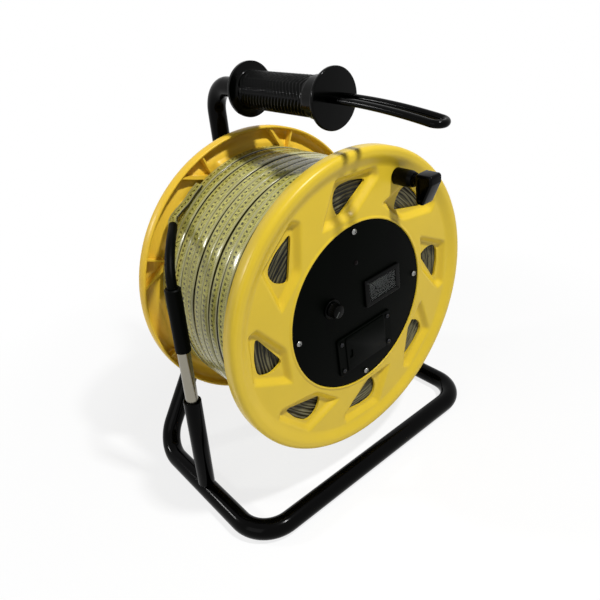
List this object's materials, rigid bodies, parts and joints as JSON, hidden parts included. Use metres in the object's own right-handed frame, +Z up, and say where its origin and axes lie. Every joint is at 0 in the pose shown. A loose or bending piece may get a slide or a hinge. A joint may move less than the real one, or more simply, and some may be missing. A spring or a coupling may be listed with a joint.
{
  "type": "water level meter",
  "caption": "Water level meter: measuring tape on a yellow crank-driven drum in a black tube frame, with control panel, carrying handle and probe in its holder.",
  "frame": {"origin": "on the ground under the middle of the meter's bounding box", "axes": "+Z up, drum axle along Y, control panel facing -Y, +X to the right seen from the panel side"},
  "size_m": [0.3406, 0.3294, 0.4223],
  "materials": {
    "yellow_plastic": "moulded, satin gloss",
    "black_tube": "gloss black powder coat",
    "black_plastic": "moulded satin",
    "black_rubber": "satin",
    "panel_black": "fine grain",
    "steel": "plated",
    "stainless": "brushed",
    "bronze": "turned",
    "tape": "clear jacket over a pale yellow printed band",
    "dial": "printed card",
    "needle": "painted",
    "clear_plastic": "clear",
    "lamp": "translucent",
    "circuit_board": "solder mask",
    "battery_case": "bare printed can without marks"
  },
  "bodies": {
    "frame": {"base_frame": "black_tube", "upright_tube": "black_tube", "axle": "steel", "axle_spacer": "black_tube", "axle_washer": "steel", "axle_nut": "steel", "handle_grip": "black_plastic", "hanging_loop": "black_tube", "probe_holder": "black_tube", "probe_tip": "black_plastic", "probe_body": "stainless", "probe_sleeve": "black_rubber", "probe_boot": "black_rubber", "tape_lead": "tape"},
    "drum": {"front_flange": "yellow_plastic", "rear_flange": "yellow_plastic", "drum_core": "black_plastic", "drum_bolt_1": "steel", "drum_bolt_2": "steel", "drum_bolt_3": "steel", "drum_bolt_4": "steel", "tape_winding": "tape", "front_bush": "bronze", "rear_bush": "bronze", "control_panel": "panel_black", "panel_screw_1": "steel", "panel_screw_2": "steel", "panel_screw_3": "steel", "panel_screw_4": "steel", "meter_case": "black_plastic", "meter_lens": "clear_plastic", "meter_dial": "dial", "switch_body": "black_plastic", "switch_collar": "steel", "indicator_lamp": "lamp", "circuit_board": "circuit_board", "buzzer": "black_plastic", "battery_box": "black_plastic", "battery": "battery_case", "battery_cover": "panel_black", "cover_screw_1": "steel", "cover_screw_2": "steel", "cover_screw_3": "steel", "cover_screw_4": "steel", "crank_post": "black_plastic", "crank_nut": "steel"},
    "crank": {"crank_handle": "black_plastic"},
    "switch": {"switch_knob": "black_plastic"},
    "needle": {"meter_needle": "needle"}
  },
  "joints": [
    {"name": "drum_spin", "type": "hinge", "parent": "frame", "child": "drum", "pos_m": [0, 0.0151, 0.2012], "axis": [0, 1, 0], "continuous": true},
    {"name": "crank_spin", "type": "hinge", "parent": "drum", "child": "crank", "pos_m": [0.05499, -0.1, 0.31723], "axis": [0, 1, 0], "continuous": true},
    {"name": "switch_turn", "type": "hinge", "parent": "drum", "child": "switch", "pos_m": [-0.03747, -0.07, 0.21496], "axis": [0, 1, 0], "range_deg": [0, 270]},
    {"name": "needle_swing", "type": "hinge", "parent": "drum", "child": "needle", "pos_m": [0.0313, -0.056, 0.20575], "axis": [0, 1, 0], "range_deg": [0, 80]}
  ]
}
